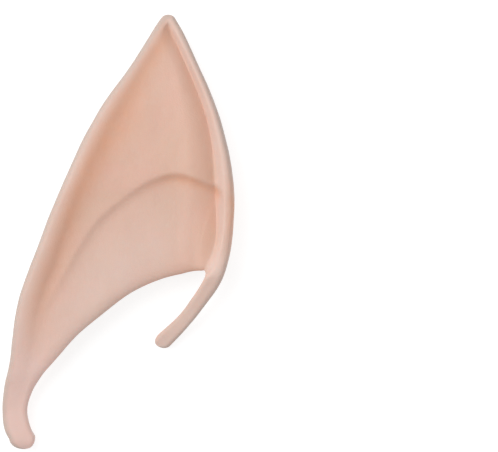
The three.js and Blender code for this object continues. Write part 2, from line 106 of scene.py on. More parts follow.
# Plan of the sections, from the tail end to the strap end: shares of the width and the length.
# Columns: rim across, rim along, mouth across, mouth along.
outline = {
    "tail end": (0.031, 0.0235, 0.138, 0.031),
    "tail pad": (0.012, 0.044, 0.1215, 0.047),
    "tail neck": (0.0, 0.086, 0.105, 0.0885),
    "tail curve": (0.008, 0.138, 0.126, 0.133),
    "tail root": (0.031, 0.192, 0.173, 0.173),
    "lower back": (0.046, 0.254, 0.238, 0.212),
    "back": (0.07, 0.339, 0.322, 0.262),
    "middle back": (0.149, 0.457, 0.435, 0.313),
    "upper back": (0.262, 0.609, 0.543, 0.356),
    "high back": (0.415, 0.776, 0.625, 0.379),
    "below tip, back": (0.567, 0.893, 0.677, 0.39),
    "tip, back": (0.682, 0.9895, 0.711, 0.396),
    "tip cap, back": (0.6965, 0.9975, 0.7198, 0.3972),
    "tip": (0.7155, 1.0, 0.7285, 0.3985),
    "tip cap, front": (0.7345, 0.997, 0.7372, 0.3998),
    "tip, front": (0.748, 0.9875, 0.746, 0.401),
    "below tip, front": (0.839, 0.891, 0.772, 0.404),
    "high front": (0.928, 0.777, 0.804, 0.4085),
    "upper front": (0.982, 0.665, 0.832, 0.411),
    "middle front": (0.9995, 0.5665, 0.856, 0.4115),
    "front": (0.984, 0.461, 0.874, 0.41),
    "strap root": (0.947, 0.393, 0.871, 0.395),
    "strap": (0.872, 0.3315, 0.8215, 0.3515),
    "strap bend": (0.7925, 0.278, 0.756, 0.3065),
    "strap end": (0.7225, 0.2385, 0.673, 0.265),
}

# Relief of the sections. The first number counts the rows above. The others are shares: of the face's
# height (face, mouth, back), of the rim's rise, of the groove's depth, of the reaches (crest, groove,
# panel), then how far the pocket reaches, how far the back stops short, and how round the mouth edge is.
reliefNames = ("face", "mouth", "back", "rise", "dip", "crest", "groove", "panel", "pocket", "open", "lip")
rimNames = ("rise", "dip", "crest", "groove", "panel")
relief = [
    (0, 0.46, 0.46, 0.0, 0.0, 0.0, 0.6, 0.6, 0.4, 0.0, 0.0, 1.0),
    (2, 0.5, 0.5, 0.05, 0.02, 0.0, 0.6, 0.6, 0.4, 0.0, 0.0, 1.0),
    (3, 0.6, 0.58, 0.08, 0.05, 0.0, 0.6, 0.7, 0.5, 0.0, 0.0, 0.9),
    (4, 0.74, 0.72, 0.06, 0.12, 0.0, 0.62, 0.8, 0.6, 0.35, 0.0, 0.5),
    (5, 0.86, 0.82, 0.03, 0.26, 0.0, 0.66, 0.9, 0.68, 0.9, 0.1, 0.1),
    (6, 0.94, 0.88, 0.0, 0.48, 0.0, 0.72, 0.95, 0.68, 1.0, 0.6, 0.0),
    (7, 0.98, 0.9, 0.0, 0.68, 0.0, 0.78, 0.94, 0.68, 1.0, 1.0, 0.0),
    (8, 1.0, 0.9, 0.0, 0.76, 0.0, 0.78, 0.84, 0.92, 1.0, 1.0, 0.0),
    (9, 1.0, 0.9, 0.0, 0.66, 0.0, 0.7, 0.8, 0.88, 1.0, 1.0, 0.0),
    (10, 1.0, 0.9, 0.0, 0.32, 0.05, 0.52, 0.6, 0.62, 1.0, 1.0, 0.0),
    (11, 1.0, 0.9, 0.0, 0.1, 0.0, 0.44, 0.55, 0.5, 1.0, 1.0, 0.0),
    (13, 1.0, 0.9, 0.0, 0.04, 0.05, 0.42, 0.5, 0.45, 1.0, 1.0, 0.0),
    (15, 1.0, 0.9, 0.0, 0.08, 0.3, 0.44, 0.5, 0.45, 1.0, 1.0, 0.0),
    (16, 1.0, 0.9, 0.0, 0.14, 0.95, 0.48, 0.54, 0.5, 1.0, 1.0, 0.0),
    (17, 1.0, 0.91, 0.0, 0.16, 1.25, 0.54, 0.62, 0.68, 1.0, 0.9, 0.0),
    (18, 1.0, 0.92, 0.0, 0.16, 1.3, 0.68, 0.8, 0.86, 1.0, 0.65, 0.0),
    (18.5, 1.0, 0.935, 0.0, 0.16, 1.3, 0.76, 0.87, 0.92, 1.0, 0.5, 0.0),
    (19, 1.0, 0.95, 0.0, 0.18, 1.15, 0.86, 0.88, 0.94, 1.0, 0.35, 0.0),
    (20, 0.99, 0.98, 0.12, 0.2, 0.8, 0.86, 0.78, 0.9, 0.5, 0.1, 0.2),
    (21, 1.06, 1.06, 0.62, 0.1, 0.0, 1.0, 1.0, 1.0, 0.0, 0.0, 0.9),
    (22, 0.8, 0.8, 0.48, 0.0, 0.0, 0.7, 1.0, 1.0, 0.0, 0.0, 1.0),
    (23, 0.49, 0.49, 0.17, 0.0, 0.0, 0.6, 1.0, 1.0, 0.0, 0.0, 1.0),
    (24, 0.32, 0.32, 0.0, 0.0, 0.0, 0.6, 1.0, 1.0, 0.0, 0.0, 1.0),
]

# The fold across the face, from the tail to the front rim: place as shares of the width and the length,
# then the share of the fold's depth.
creaseLine = [
    (0.07, -0.02, 0),
    (0.055, 0.1, 0),
    (0.12, 0.22, 0),
    (0.205, 0.335, 0.12),
    (0.272, 0.397, 0.27),
    (0.333, 0.456, 0.38),
    (0.418, 0.523, 0.46),
    (0.53, 0.575, 0.52),
    (0.64, 0.614, 0.75),
    (0.746, 0.63, 1.1),
    (0.835, 0.619, 1.35),
    (0.896, 0.606, 1.4),
    (0.95, 0.594, 1.4),
    (1.05, 0.575, 1.4),
]


def blend(a, b, share):
    return a + (b - a) * share


def easeBetween(value, low, high):
    share = np.clip((value - low) / (high - low), 0, 1)
    return share * share * (3 - 2 * share)


def quarterRound(at, reach, power=2):
    # quarter ellipse, from 0 at the start to 1 at its reach, squarer for a power over 2
    left = 1 - np.clip(at / reach, 0, 1)
    return (1 - left ** power) ** (1 / power)


def kneeStep(at, start, knee, end):
    # step from 0 to 1 that grows steep up to its knee and eases out after it
    steep, gentle = knee - start, end - knee
    left = 1 - np.clip((at - knee) / gentle, 0, 1)
    before = steep / 2 * np.clip((at - start) / steep, 0, 1) ** 2
    return (before + gentle / 3 * (1 - left ** 3)) / (steep / 2 + gentle / 3)


def smoothCurve(places, rows):
    # curve through a table's rows, with the mean of the slopes to both sides at each row
    places, rows = np.array(places, float), np.array(rows, float)
    slopes = np.diff(rows, axis=0) / np.diff(places)[:, None]
    ends = np.vstack([slopes[:1], (slopes[:-1] + slopes[1:]) / 2, slopes[-1:]])

    def at(where):
        where = np.clip(where, places[0], places[-1])
        row = np.clip(np.searchsorted(places, where, side="right") - 1, 0, len(places) - 2)
        span = (places[row + 1] - places[row])[:, None]
        t = (where - places[row])[:, None] / span
        start = (1 + 2 * t) * (1 - t) ** 2 * rows[row] + t * (1 - t) ** 2 * span * ends[row]
        end = t * t * (3 - 2 * t) * rows[row + 1] - t * t * (1 - t) * span * ends[row + 1]
        return start + end

    return at


def nearestOn(run, points):
    # distance from each point to a run of points, positive to its left, and how far along the run that is
    start, side = run[:-1], np.diff(run, axis=0)
    flat = points.reshape(-1, 2)
    away, place = np.empty(len(flat)), np.empty(len(flat))
    for first in range(0, len(flat), 4000):
        some = flat[first:first + 4000, None]
        share = np.clip(((some - start) * side).sum(-1) / (side * side).sum(-1), 0, 1)
        gap = np.linalg.norm(start + share[..., None] * side - some, axis=-1)
        best = gap.argmin(1)
        rows = np.arange(len(best))
        out = some[:, 0] - start[best]
        left = side[best, 0] * out[:, 1] - side[best, 1] * out[:, 0]
        away[first:first + 4000] = np.copysign(gap[rows, best], left)
        place[first:first + 4000] = best + share[rows, best]
    return away.reshape(points.shape[:-1]), place.reshape(points.shape[:-1])


def along(values, place):
    # values of a run at fractional places on it
    low = np.clip(np.floor(place).astype(int), 0, len(values) - 2)
    return blend(values[low], values[low + 1], place - low)


planRows = np.array([
    (a * shell["width"], b * shell["length"], c * shell["width"], d * shell["length"])
    for a, b, c, d in outline.values()
])
rimPlaces = np.concatenate([[0], np.cumsum(np.linalg.norm(np.diff(planRows, axis=0), axis=1))])
planAt = smoothCurve(rimPlaces, planRows)
reliefAt = smoothCurve([row[0] for row in relief], [row[1:] for row in relief])
numberAt = smoothCurve(rimPlaces, [[number] for number in range(len(planRows))])
tipRow = list(outline).index("tip")


def sectionPlaces():
    # places along the rim, closer together where the outline turns
    places = [0.0]
    for row in range(1, len(rimPlaces)):
        low, high = rimPlaces[row - 1], rimPlaces[row]
        ends = planAt(np.array([low, low + 0.05, high - 0.05, high]))[:, :2]
        first, last = ends[1] - ends[0], ends[3] - ends[2]
        turn = abs(math.remainder(math.atan2(*last) - math.atan2(*first), 2 * math.pi))
        steps = max((high - low) / shell["sectionStep"], math.degrees(turn) / shell["sectionTurn"])
        places += list(np.linspace(low, high, math.ceil(steps) + 1)[1:])
    return np.array(places)


def sectionLines(places):
    # plan line of each section: it leaves the rim square to it and meets the mouth square to it
    here = planAt(places)
    rim, mouth = here[:, :2], here[:, 2:]
    alongRim = (planAt(places + 0.05) - planAt(places - 0.05))[:, :2]
    alongMouth = (planAt(places + shell["mouthSpan"]) - planAt(places - shell["mouthSpan"]))[:, 2:]
    alongRim /= np.linalg.norm(alongRim, axis=1)[:, None]
    alongMouth /= np.linalg.norm(alongMouth, axis=1)[:, None]
    span = np.linalg.norm(rim - mouth, axis=1)
    toTip = np.linalg.norm(rim - planRows[tipRow, :2], axis=1)
    lean = np.minimum(shell["rimLean"] * span, shell["tipLean"] * toTip)[:, None]
    fromRim = rim + lean * np.stack([alongRim[:, 1], -alongRim[:, 0]], 1)
    intoFace = np.stack([-alongMouth[:, 1], alongMouth[:, 0]], 1)
    fromMouth = mouth + (shell["mouthLean"] * span)[:, None] * intoFace
    t = np.linspace(0, 1, 129)[None, :, None]
    lines = (
        (1 - t) ** 3 * rim[:, None] + 3 * t * (1 - t) ** 2 * fromRim[:, None]
        + 3 * t * t * (1 - t) * fromMouth[:, None] + t ** 3 * mouth[:, None]
    )
    pieces = np.linalg.norm(np.diff(lines, axis=1), axis=2)
    run = np.concatenate([np.zeros((len(places), 1)), np.cumsum(pieces, axis=1)], axis=1)
    even = np.linspace(0, 1, 129)
    for number, line in enumerate(lines):  # spread the points evenly
        share = run[number] / run[number, -1]
        lines[number] = np.stack([np.interp(even, share, line[:, axis]) for axis in (0, 1)], 1)
    return lines, run[:, -1]


def pointAt(share):
    # plan points at shares of the sections' lines: one row of shares for each section
    place = np.clip(share, 0, 1) * (lines.shape[1] - 1)
    low = np.clip(np.floor(place).astype(int), 0, lines.shape[1] - 2)
    rows = np.arange(len(lines))[:, None]
    return blend(lines[rows, low], lines[rows, low + 1], (place - low)[..., None])


places = sectionPlaces()
lines, lengths = sectionLines(places)
length = lengths[:, None]
tipPlace = int(np.searchsorted(places, rimPlaces[tipRow] - 1e-6))
rimRun = lines[:, 0]
shape = dict(zip(reliefNames, reliefAt(numberAt(places)[:, 0]).T))
for name in ("back", "rise", "dip", "open"):
    shape[name] = np.maximum(shape[name], 0)
for name in ("pocket", "lip"):
    shape[name] = np.clip(shape[name], 0, 1)
column = {name: values[:, None] for name, values in shape.items()}

creaseRows = np.array(creaseLine) * [shell["width"], shell["length"], 1]
creasePlaces = np.concatenate([[0], np.cumsum(np.linalg.norm(np.diff(creaseRows[:, :2], axis=0), axis=1))])
crease = smoothCurve(creasePlaces, creaseRows)(np.linspace(0, creasePlaces[-1], 400))
crease[:, 2] = np.maximum(crease[:, 2], 0)


def foldShares():
    # share of the way along each section where it crosses the fold, under 0 where it begins past it, and the
    # fold's depth there
    away, place = nearestOn(crease[:, :2], lines)
    shares, depths = [], []
    for row, run, span in zip(away, place, lengths):
        nearest = int(np.abs(row).argmin())
        pair = [i for i in (nearest - 1, nearest) if 0 <= i < len(row) - 1 and row[i] > 0 >= row[i + 1]]
        at = pair[0] + row[pair[0]] / (row[pair[0]] - row[pair[0] + 1]) if pair else 0
        shares.append(at / (len(row) - 1) if pair else -abs(row[0]) / span)
        onFold = np.interp(at, np.arange(len(row)), run)
        depths.append(np.interp(onFold, np.arange(len(crease)), crease[:, 2]))
    return np.array(shares)[:, None], np.array(depths)[:, None]


foldAt, foldDepth = foldShares()
print(f"{len(places)} sections laid out in plan")


def rimsAround(points, names=rimNames):
    # distances to the back rim and the front rim with the relief there, and both blended where they are close
    rims = []
    for first, last in ((0, tipPlace + 1), (tipPlace, len(rimRun))):
        away, place = nearestOn(rimRun[first:last], points)
        rim = {name: along(shape[name][first:last], place) for name in names}
        rims.append(rim | {"away": np.abs(away)})
    near = np.maximum(1e-9, np.minimum(rims[0]["away"], rims[1]["away"]))
    weights = [(near / np.maximum(rim["away"], near)) ** shell["blendPower"] for rim in rims]
    total = weights[0] + weights[1]
    crest, rise = [sum(w * rim[name] for w, rim in zip(weights, rims)) / total for name in ("crest", "rise")]
    return near * total ** (-1 / shell["blendPower"]), crest, rise, rims


def levels(across, y):
    # face and underside, which close in on each other towards the tip
    ease = 1 - (1 - across) ** shell["levelEase"]
    start = shell["tipFallFrom"]
    towardsTip = np.clip((y / shell["length"] - start) / (1 - start), 0, 1) ** shell["tipFallPower"]
    whole = blend(column["face"], column["mouth"], ease) * shell["faceHeight"]
    top = whole * (1 - shell["tipFall"] * towardsTip)
    under = column["back"] * shell["faceHeight"] * (1 - ease * (1 - column["lip"]))
    return top, under + shell["tipLift"] * towardsTip


def equator(rise, y):
    # height of the outline, where the face and the back meet
    top, under = levels(0, y)
    return blend(under, top + rise * shell["rimRise"], shell["equator"])


def crestWidth(crest):
    return np.minimum(crest * shell["crestReach"], shell["halfSection"] * length)


def rimForm(rim):
    # how far one rim raises the face, how far its groove sinks it, and a share from its crest to the groove
    start = crestWidth(rim["crest"])
    knee = np.maximum(rim["groove"] * shell["grooveReach"], start * shell["leastReach"])
    end = np.maximum(rim["panel"] * shell["panelReach"], knee * shell["leastReach"])
    inside = easeBetween(rim["away"], start, knee)
    left = 1 - np.clip((rim["away"] - knee) / (end - knee), 0, 1)
    raised = rim["rise"] * shell["rimRise"] * (1 - kneeStep(rim["away"], start, knee, end))
    return raised, rim["dip"] * shell["grooveDepth"] * inside * left ** 2, inside


def foldHeight(points, across):
    # the face steps down at the fold and comes back slowly towards the mouth
    past = -nearestOn(crease[:, :2], points)[0]
    step = kneeStep(past, -shell["creaseAbove"], 0, shell["creaseBelow"])
    return -foldDepth * shell["creaseDepth"] * step * (1 - easeBetween(across, foldAt, 1))


def faceHeight(distance):
    # height of the ear's face at distances along the sections
    across = np.clip(distance / length, 0, 1)
    points = pointAt(across)
    away, crest, rise, rims = rimsAround(points)
    (backRaised, backSunk, insideBack), (frontRaised, frontSunk, insideFront) = map(rimForm, rims)
    sunk = backSunk * insideFront + frontSunk * insideBack
    fold = foldHeight(points, across) * insideFront
    inner = levels(across, points[..., 1])[0] + backRaised + frontRaised - sunk + fold
    rounding = quarterRound(away, crestWidth(crest), shell["rimPower"])
    height = blend(equator(rise, points[..., 1]), inner, rounding)
    drop = blend(shell["lipDrop"], shell["flankLip"], column["lip"])
    return height - drop * (1 - quarterRound(length - distance, lipWidth()))


def lipWidth():
    reach = blend(shell["lipReach"], shell["edgeReach"], column["lip"])
    return np.minimum(reach, shell["halfSection"] * length)


def backHeight(distance):
    across = np.clip(distance / length, 0, 1)
    points = pointAt(across)
    away, crest, rise, rims = rimsAround(points)
    under = levels(across, points[..., 1])[1]
    flank = np.minimum(shell["flankReach"], 2 * shell["halfSection"] * length)
    tuck = column["lip"] * shell["flankLip"] * (1 - quarterRound(length - distance, lipWidth()))
    return blend(equator(rise, points[..., 1]), under, quarterRound(away, flank)) + tuck


# A ball as big as the wall rolls along each section, and the pocket is what it doesn't touch.
rollAngles = np.radians([-70, -45, -20, 0, 20, 45, 70])


def pocketTop(distance):
    wall = shell["wall"]
    return np.min([faceHeight(distance + wall * np.sin(a)) - wall * np.cos(a) for a in rollAngles], axis=0)


def pocketFloor(distance):
    wall = shell["wall"]
    return np.max([backHeight(distance + wall * np.sin(a)) + wall * np.cos(a) for a in rollAngles], axis=0)


def refine(stations, counts):
    # stations with each gap cut into so many equal steps
    parts = [blend(stations[i], stations[i + 1], k / n) for i, n in enumerate(counts) for k in range(n)]
    return np.concatenate([*parts, stations[-1]], axis=1)


def alongAt(inward, reach):
    # distance along each section at which it is so far in from the rim
    even = np.linspace(0, 1, inward.shape[1])
    return np.array([np.interp(one, row, even) for one, row in zip(reach[:, 0], inward)])[:, None] * length


def faceStations():
    rims = rimsAround(lines)[3]
    onBack = np.arange(len(lines))[:, None] < tipPlace
    inward = np.maximum.accumulate(np.where(onBack, rims[0]["away"], rims[1]["away"]), axis=1)
    rounding = [alongAt(inward, share * crestWidth(column["crest"])) for share in (0.03, 0.15, 0.45, 1)]
    crest = rounding[-1]
    reach = alongAt(inward, column["groove"] * shell["grooveReach"])
    fold = np.maximum(foldAt * length, np.minimum(reach, 0.5 * length))
    fold = np.maximum(fold, blend(crest, length, 0.15))
    groove = np.minimum(reach, blend(crest, fold, 0.4))
    panel = np.minimum(alongAt(inward, column["panel"] * shell["panelReach"]), blend(groove, fold, 0.6))
    lip = np.minimum(lipWidth(), (length - fold) * 0.4)
    edge = length - lip
    above = np.maximum(fold - shell["creaseAbove"], blend(panel, fold, 0.5))
    below = np.minimum(fold + shell["creaseBelow"], blend(fold, edge, 0.6))
    stations = [
        0 * crest, *rounding, groove, panel, above, fold, below, edge,
        length - 0.5 * lip, length - 0.15 * lip, length - 0.03 * lip, length,
    ]
    return refine(stations, [2, 3, 3, 3, 8, 9, 16, 4, 7, 10, 3, 2, 1, 1])


def pocketPlaces(backEdge):
    # distances round the open pocket, and the height there as a share from its floor to its top
    inward = np.maximum.accumulate(rimsAround(lines)[0], axis=1)
    start = np.minimum(alongAt(inward, np.full_like(length, shell["rimSolid"])), 0.6 * backEdge)
    end = start + np.minimum(shell["pocketEnd"], 0.3 * (backEdge - start))
    lip = np.minimum(shell["lipReach"], 0.2 * (length - end))
    fold = np.clip(foldAt * length, blend(end, length - lip, 0.15), blend(end, length - lip, 0.85))
    above = np.maximum(fold - 2 * shell["creaseAbove"], blend(end, fold, 0.5))
    after = np.minimum(fold + shell["creaseBelow"], blend(fold, length - lip, 0.5))
    floor = refine([backEdge, end], [12])
    turns = np.radians(np.linspace(-80, 80, 11))
    power = 2 / shell["boxiness"]
    rounded = np.concatenate([end - (end - start) * np.cos(a) ** power for a in turns], axis=1)
    rise = np.sign(np.sin(turns)) * np.abs(np.sin(turns)) ** power
    top = refine([end, above, fold, after, length - lip, length], [7, 4, 4, 9, 5])
    distance = np.concatenate([floor, rounded, top], axis=1)
    share = np.concatenate([np.zeros(floor.shape[1]), (1 + rise) / 2, np.ones(top.shape[1])])
    return distance, share[None]


def sectionLoops():
    # closed loop of each section: face from mouth to rim, back from rim to its edge, then the pocket
    pocket = column["pocket"]
    backEdge = length - np.minimum(column["open"] * shell["backSetBack"], 0.45 * length)
    flank = np.minimum(np.minimum(shell["flankReach"], 2 * shell["halfSection"] * length), 0.6 * backEdge)
    face = faceStations()[:, ::-1]
    back = refine([0 * flank, 0.06 * flank, 0.25 * flank, flank, backEdge], [3, 4, 7, 12])[:, 1:]
    distance, share = pocketPlaces(backEdge)
    count = distance.shape[1]
    turn = (np.arange(count)[None] + 1) / (count + 1)
    distance = blend(blend(backEdge, length, turn), distance, pocket)
    faceTop, backUnder = faceHeight(face), backHeight(back)
    middle = (faceHeight(distance) + backHeight(np.minimum(distance, backEdge))) / 2
    top = np.maximum(pocketTop(distance), middle + shell["slimmest"])
    floor = np.minimum(pocketFloor(distance), middle - shell["slimmest"])
    closed = blend(backUnder[:, -1:], faceTop[:, :1], turn)
    hollow = blend(closed, blend(floor, top, share), pocket)
    away = np.concatenate([face, back, distance], axis=1)
    height = np.concatenate([faceTop, backUnder, hollow], axis=1)
    return away, height, (face.shape[1], back.shape[1], count)


away, height, counts = sectionLoops()
rings = np.concatenate([pointAt(away / length), height[..., None]], axis=2)
print(f"{rings.shape[1]} points round each section")


def capRings(ring, line, reach, outward):
    # smaller and smaller rings that round off the end section, and the point that closes them
    centre = ring.mean(0)
    across = line[-1] - line[0]
    axis = np.array([-across[1], across[0], 0]) / np.linalg.norm(across) * outward * reach
    angles = np.arange(1, shell["capSteps"]) / shell["capSteps"] * math.pi / 2
    return [blend(ring, centre, 1 - math.cos(a)) + axis * math.sin(a) for a in angles], centre + axis


# Painted shade: a darker, warmer tint that stays in the groove inside the rim, where shade falls. Columns:
# row of the outline, share of the tint, share of the way from crest to groove where it starts, how far inside
# the groove it fades out in mm, share of it along the outline itself, where the rim's edge is shaded.
warmShadeRows = [
    (0, 0.0, 0.0, 3.0, 0.0),
    (3, 0.05, 0.0, 3.0, 0.0),
    (5, 0.15, 0.0, 3.0, 0.0),
    (6, 0.35, 0.0, 3.0, 0.0),
    (7, 0.55, 0.0, 3.2, 0.0),
    (8, 0.9, 0.0, 3.2, 0.0),
    (8.5, 1.0, 0.0, 4.2, 0.0),
    (9, 0.9, 0.0, 6.0, 0.0),
    (10, 0.7, 0.1, 2.6, 0.0),
    (12, 0.2, 0.3, 1.6, 0.0),
    (14, 0.05, 0.8, 1.4, 0.0),
    (16, 0.25, 1.0, 2.0, 0.0),
    (17, 0.4, 1.0, 4.6, 0.0),
    (18, 0.42, 1.0, 5.6, 0.1),
    (18.5, 0.45, 1.0, 5.0, 0.5),
    (19, 0.5, 1.0, 4.2, 0.9),
    (20, 0.5, 1.0, 3.4, 0.9),
    (21, 0.0, 1.0, 2.0, 0.3),
    (24, 0.0, 1.0, 2.0, 0.0),
]
warmShadeNames = ("warmShade", "warmShadeStart", "warmShadeFade", "warmShadeEdge")
warmShadeAt = smoothCurve([row[0] for row in warmShadeRows], [row[1:] for row in warmShadeRows])
shape |= dict(zip(warmShadeNames, np.maximum(0, warmShadeAt(numberAt(places)[:, 0])).T))

# The other tints: painted shade at the fold, painted highlight on the rims, the paler mouth, greyer painted
# shade along the outline and the tail's pink. Reaches in mm.
tint = {
    "warmShadeCrest": 0.4,  # the warm tint can start at this share of the crest's reach
    "warmShadePast": 0.9,
    "leastFade": 0.5,
    "warmShadeEdge": 3,
    "foldShadeAbove": 0.9,
    "foldShadeBelow": 2.2,
    "foldShare": 0.85,
    "foldShadeShift": 0.3,
    "foldShadeFrom": (0.4, 1.3),  # shares of the fold's depth
    "foldShadeEnd": (3, 4.8),  # distances from the front rim
    "outlineShadeWidth": 1.5,
    "backOutlineShade": 0.88,
    "frontOutlineShade": 0.6,
    "backPale": 7,
    "leastPale": 0.35,
    "valleyShade": 0.3,
    # painted highlight on the rims, up to these shares of the way to the groove
    "backRimHighlight": (0.15, 0.9),  # the rims are pale up to these shares of the way to the groove
    "frontRimHighlight": (0.75, 1.0),
    "mouthFade": (4, 30),  # the lower face gets paler towards the mouth, but not beside the rims
    "clearOfBack": (4, 18),
    "clearOfFront": (6, 24),
    "warmShadeFirst": 0.7,
    "mouthShare": 0.9,
    "strapShade": 0.16,
    "strapFade": (0.9, 0.95),  # shares of the way round the outline
    "tailFade": (3.5, 7),  # rows of the outline
}


# painted shade: darker warm tint in one rim's groove and along its shaded edge
def warmShadeShare(rim):
    crestAt = crestWidth(rim["crest"])
    knee = np.maximum(rim["groove"] * shell["grooveReach"], crestAt * shell["leastReach"])
    start = blend(tint["warmShadeCrest"] * crestAt, knee, rim["warmShadeStart"])
    inside = np.maximum(0, rim["away"] - knee) / np.maximum(rim["warmShadeFade"], tint["leastFade"])
    band = rim["warmShade"] * easeBetween(rim["away"], start, knee + tint["warmShadePast"]) * np.exp(-inside ** 2)
    return np.maximum(band, rim["warmShadeEdge"] * (1 - np.clip(rim["away"] / tint["warmShadeEdge"], 0, 1)))


def foldShade(points, frontAway):
    # painted shade along the fold: strongest at its front end, and wider below it than above
    start, whole = tint["foldShadeFrom"]
    past = -nearestOn(crease[:, :2], points)[0] - tint["foldShadeShift"]
    below = blend(tint["foldShadeAbove"], tint["foldShadeBelow"], np.clip(foldDepth - start, 0, 1))
    width = np.where(past > 0, below, tint["foldShadeAbove"])
    share = easeBetween(foldDepth, start, whole) * tint["foldShare"]
    return share * np.exp(-(past / width) ** 2) * easeBetween(frontAway, *tint["foldShadeEnd"])


def rimHighlightTint(rim, start, end):
    # painted highlight on one rim: whole up to one share of the way to the groove, and none from the other on
    reach = np.maximum(rim["groove"], 0.5) * shell["grooveReach"]
    return 1 - easeBetween(rim["away"], start * reach, end * reach)


# painted shade along the outline, left out where the warm painted shade takes the edge
def outlineShade(rim, share):
    own = share * (1 - np.clip(rim["warmShadeEdge"], 0, 1))
    return own * (1 - np.clip(rim["away"] / tint["outlineShadeWidth"], 0, 1))


# the face's tints: painted shade, painted highlight on the rims, and the paler tones
def faceTints(distance):
    across = np.clip(distance / length, 0, 1)
    points = pointAt(across)
    back, front = rimsAround(points, rimNames + warmShadeNames)[3]
    # painted shade in the grooves, along the fold and at the rims' shaded edges
    warmShade = np.maximum(np.maximum(warmShadeShare(back), warmShadeShare(front)), foldShade(points, front["away"]))
    solid = 1 - easeBetween(column["pocket"], 0.2, 1)
    # painted highlight on the raised rims
    rimHighlight = np.maximum(rimHighlightTint(back, *tint["backRimHighlight"]), rimHighlightTint(front, *tint["frontRimHighlight"]))
    lowPale = 1 - easeBetween(length - distance, *tint["mouthFade"])
    lowPale *= easeBetween(front["away"], *tint["clearOfFront"])
    lowPale *= easeBetween(back["away"], *tint["clearOfBack"])
    lowPale *= tint["mouthShare"] * (1 - tint["warmShadeFirst"] * np.clip(warmShade, 0, 1))
    # the paler tone of the tail, strap and mouth, with the painted highlight on the rims
    paleAndHighlight = np.maximum(np.maximum(rimHighlight, lowPale), solid)
    strap = easeBetween(np.arange(len(lines)), *(share * len(lines) for share in tint["strapFade"]))[:, None]
    # painted shade, greyer and darker: along the outline, on the strap and in the front valley
    line = np.maximum(outlineShade(back, tint["backOutlineShade"]), outlineShade(front, tint["frontOutlineShade"]))
    line = np.maximum(line, tint["strapShade"] * strap)
    line = np.maximum(line, tint["valleyShade"] * warmShadeShare(front | {"warmShadeEdge": 0}))
    return {"warmShade": np.clip(warmShade, 0, 1) * (1 - solid), "paleAndHighlight": paleAndHighlight, "outline": line}


def ringTints():
    # the tints, painted shade and painted highlight all round each section: face, back, then the pocket
    face = faceTints(faceStations()[:, ::-1])
    back = away[:, counts[0]:counts[0] + counts[1]]
    pocket = np.zeros((len(lines), counts[2]))

    def around(name, reach, floor=0):
        # the face's tint goes on over the outline and fades out on the back
        edge = np.maximum(face[name][:, -1:], floor)
        onBack = blend(edge, floor, easeBetween(back, 0, reach))
        return np.concatenate([face[name], onBack, pocket + floor], axis=1)

    tail = 1 - easeBetween(numberAt(places), *tint["tailFade"])
    return {
        "tail": tail * np.ones(rings.shape[1]),
        "warmShade": around("warmShade", tint["warmShadeEdge"]),
        "paleAndHighlight": around("paleAndHighlight", tint["backPale"], tint["leastPale"]),
        # painted shade along the outline, the strap and the front valley, fading out on the back
        "outline": around("outline", tint["outlineShadeWidth"]),
        "raw": np.concatenate([0 * face["warmShade"], 0 * back, pocket + column["pocket"]], axis=1),
    }


# Small unevenness of a hand-sculpted mould, and the seam that the mould leaves round the outline
uneven = {
    "broad": 10,  # mm from swell to swell
    "broadHeight": 0.19,
    "shift": (7, 3, 1),
    "fine": 3.2,
    "fineHeight": 0.05,
    "seamHeight": 0.09,
    "seamWidth": 0.22,
}


def roughen(every):
    # moves the points a little along their normals
    alongRows = np.gradient(every, axis=0)
    alongRing = np.roll(every, -1, axis=1) - np.roll(every, 1, axis=1)
    normals = np.cross(alongRows, alongRing)
    normals /= np.maximum(np.linalg.norm(normals, axis=2), 1e-9)[..., None]
    swell = np.array([
        uneven["broadHeight"] * noise.noise(Vector(point / uneven["broad"]) + Vector(uneven["shift"]))
        + uneven["fineHeight"] * noise.noise(Vector(point / uneven["fine"]))
        for point in every.reshape(-1, 3)
    ]).reshape(every.shape[:2])
    edge = counts[0] - 1  # the outline's place in each ring
    fromSeam = np.linalg.norm(every - every[:, edge:edge + 1], axis=2)
    seam = uneven["seamHeight"] * np.exp(-(fromSeam / uneven["seamWidth"]) ** 2)
    return every + normals * (swell + seam)[..., None]


def shellMesh():
    tailRings, tailPole = capRings(rings[0], lines[0], shell["tailCap"], -1)
    strapRings, strapPole = capRings(rings[-1], lines[-1], shell["strapCap"], 1)
    every = roughen(np.array([*tailRings[::-1], *rings, *strapRings]))
    rows, size = every.shape[:2]
    points = np.concatenate([every.reshape(-1, 3), [tailPole, strapPole]])
    a = (np.arange(rows - 1)[:, None] * size + np.arange(size)).ravel()
    b = (np.arange(rows - 1)[:, None] * size + (np.arange(size) + 1) % size).ravel()
    faces = np.stack([a, a + size, b + size, b], 1).tolist()
    last = (rows - 1) * size
    for place in range(size):
        after = (place + 1) % size
        faces.append((rows * size, place, after))
        faces.append((rows * size + 1, last + after, last + place))
    middle = (points.max(0) + points.min(0)) / 2
    points -= [middle[0], middle[1], points[:, 2].min()]
    mesh = bpy.data.meshes.new("earTip")
    mesh.from_pydata(points * mm, [], faces)
    cap = shell["capSteps"] - 1
    for name, values in ringTints().items():
        values = np.concatenate([values[:1].repeat(cap, 0), values, values[-1:].repeat(cap, 0)])
        shares = np.concatenate([values.ravel(), values[0, :1], values[-1, :1]])
        mesh.attributes.new(name, "FLOAT", "POINT").data.foreach_set("value", shares.astype(np.float32))
    mesh.validate()
    mesh.shade_smooth()
    mesh.set_sharp_from_angle(angle=math.radians(shell["sharpOver"]))
    return mesh


ear = bpy.data.objects.new("earTip", shellMesh())
bpy.context.scene.collection.objects.link(ear)
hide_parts(shell["node"])
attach(ear, shell["body"])
print(f"shell made, {len(ear.data.polygons)} faces")

